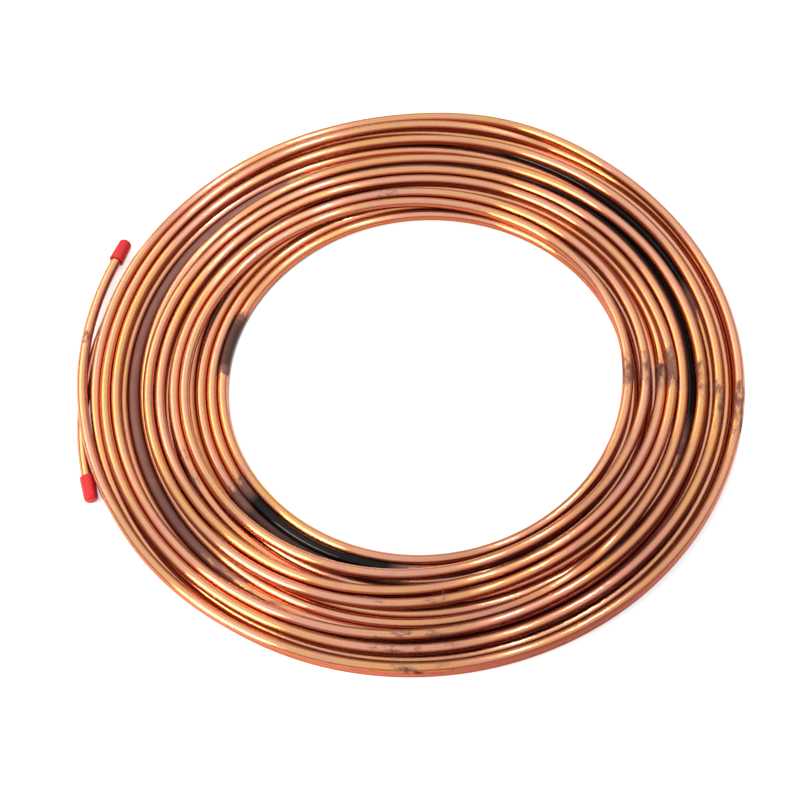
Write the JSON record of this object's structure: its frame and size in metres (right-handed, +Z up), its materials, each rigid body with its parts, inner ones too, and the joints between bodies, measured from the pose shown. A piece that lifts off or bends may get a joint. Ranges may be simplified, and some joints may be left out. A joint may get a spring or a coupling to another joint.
{
  "type": "copper tube coil",
  "caption": "Flat two-layer coil of soft copper tube, open in the middle, with both tube ends left free at the outside and closed by push-on plastic caps.",
  "frame": {"origin": "on the winding's axis, on the level surface that the coil lies on", "axes": "+Z up along the winding's axis; -X towards the side where both free ends lie; +Y away from the viewer"},
  "size_m": [0.3885, 0.385, 0.013],
  "materials": {
    "copper": "bright drawn copper with light tarnish",
    "red_plastic": "satin moulded red plastic"
  },
  "bodies": {
    "root": {"copper_tube": "copper", "upper_end_cap": "red_plastic", "lower_end_cap": "red_plastic"}
  },
  "joints": []
}
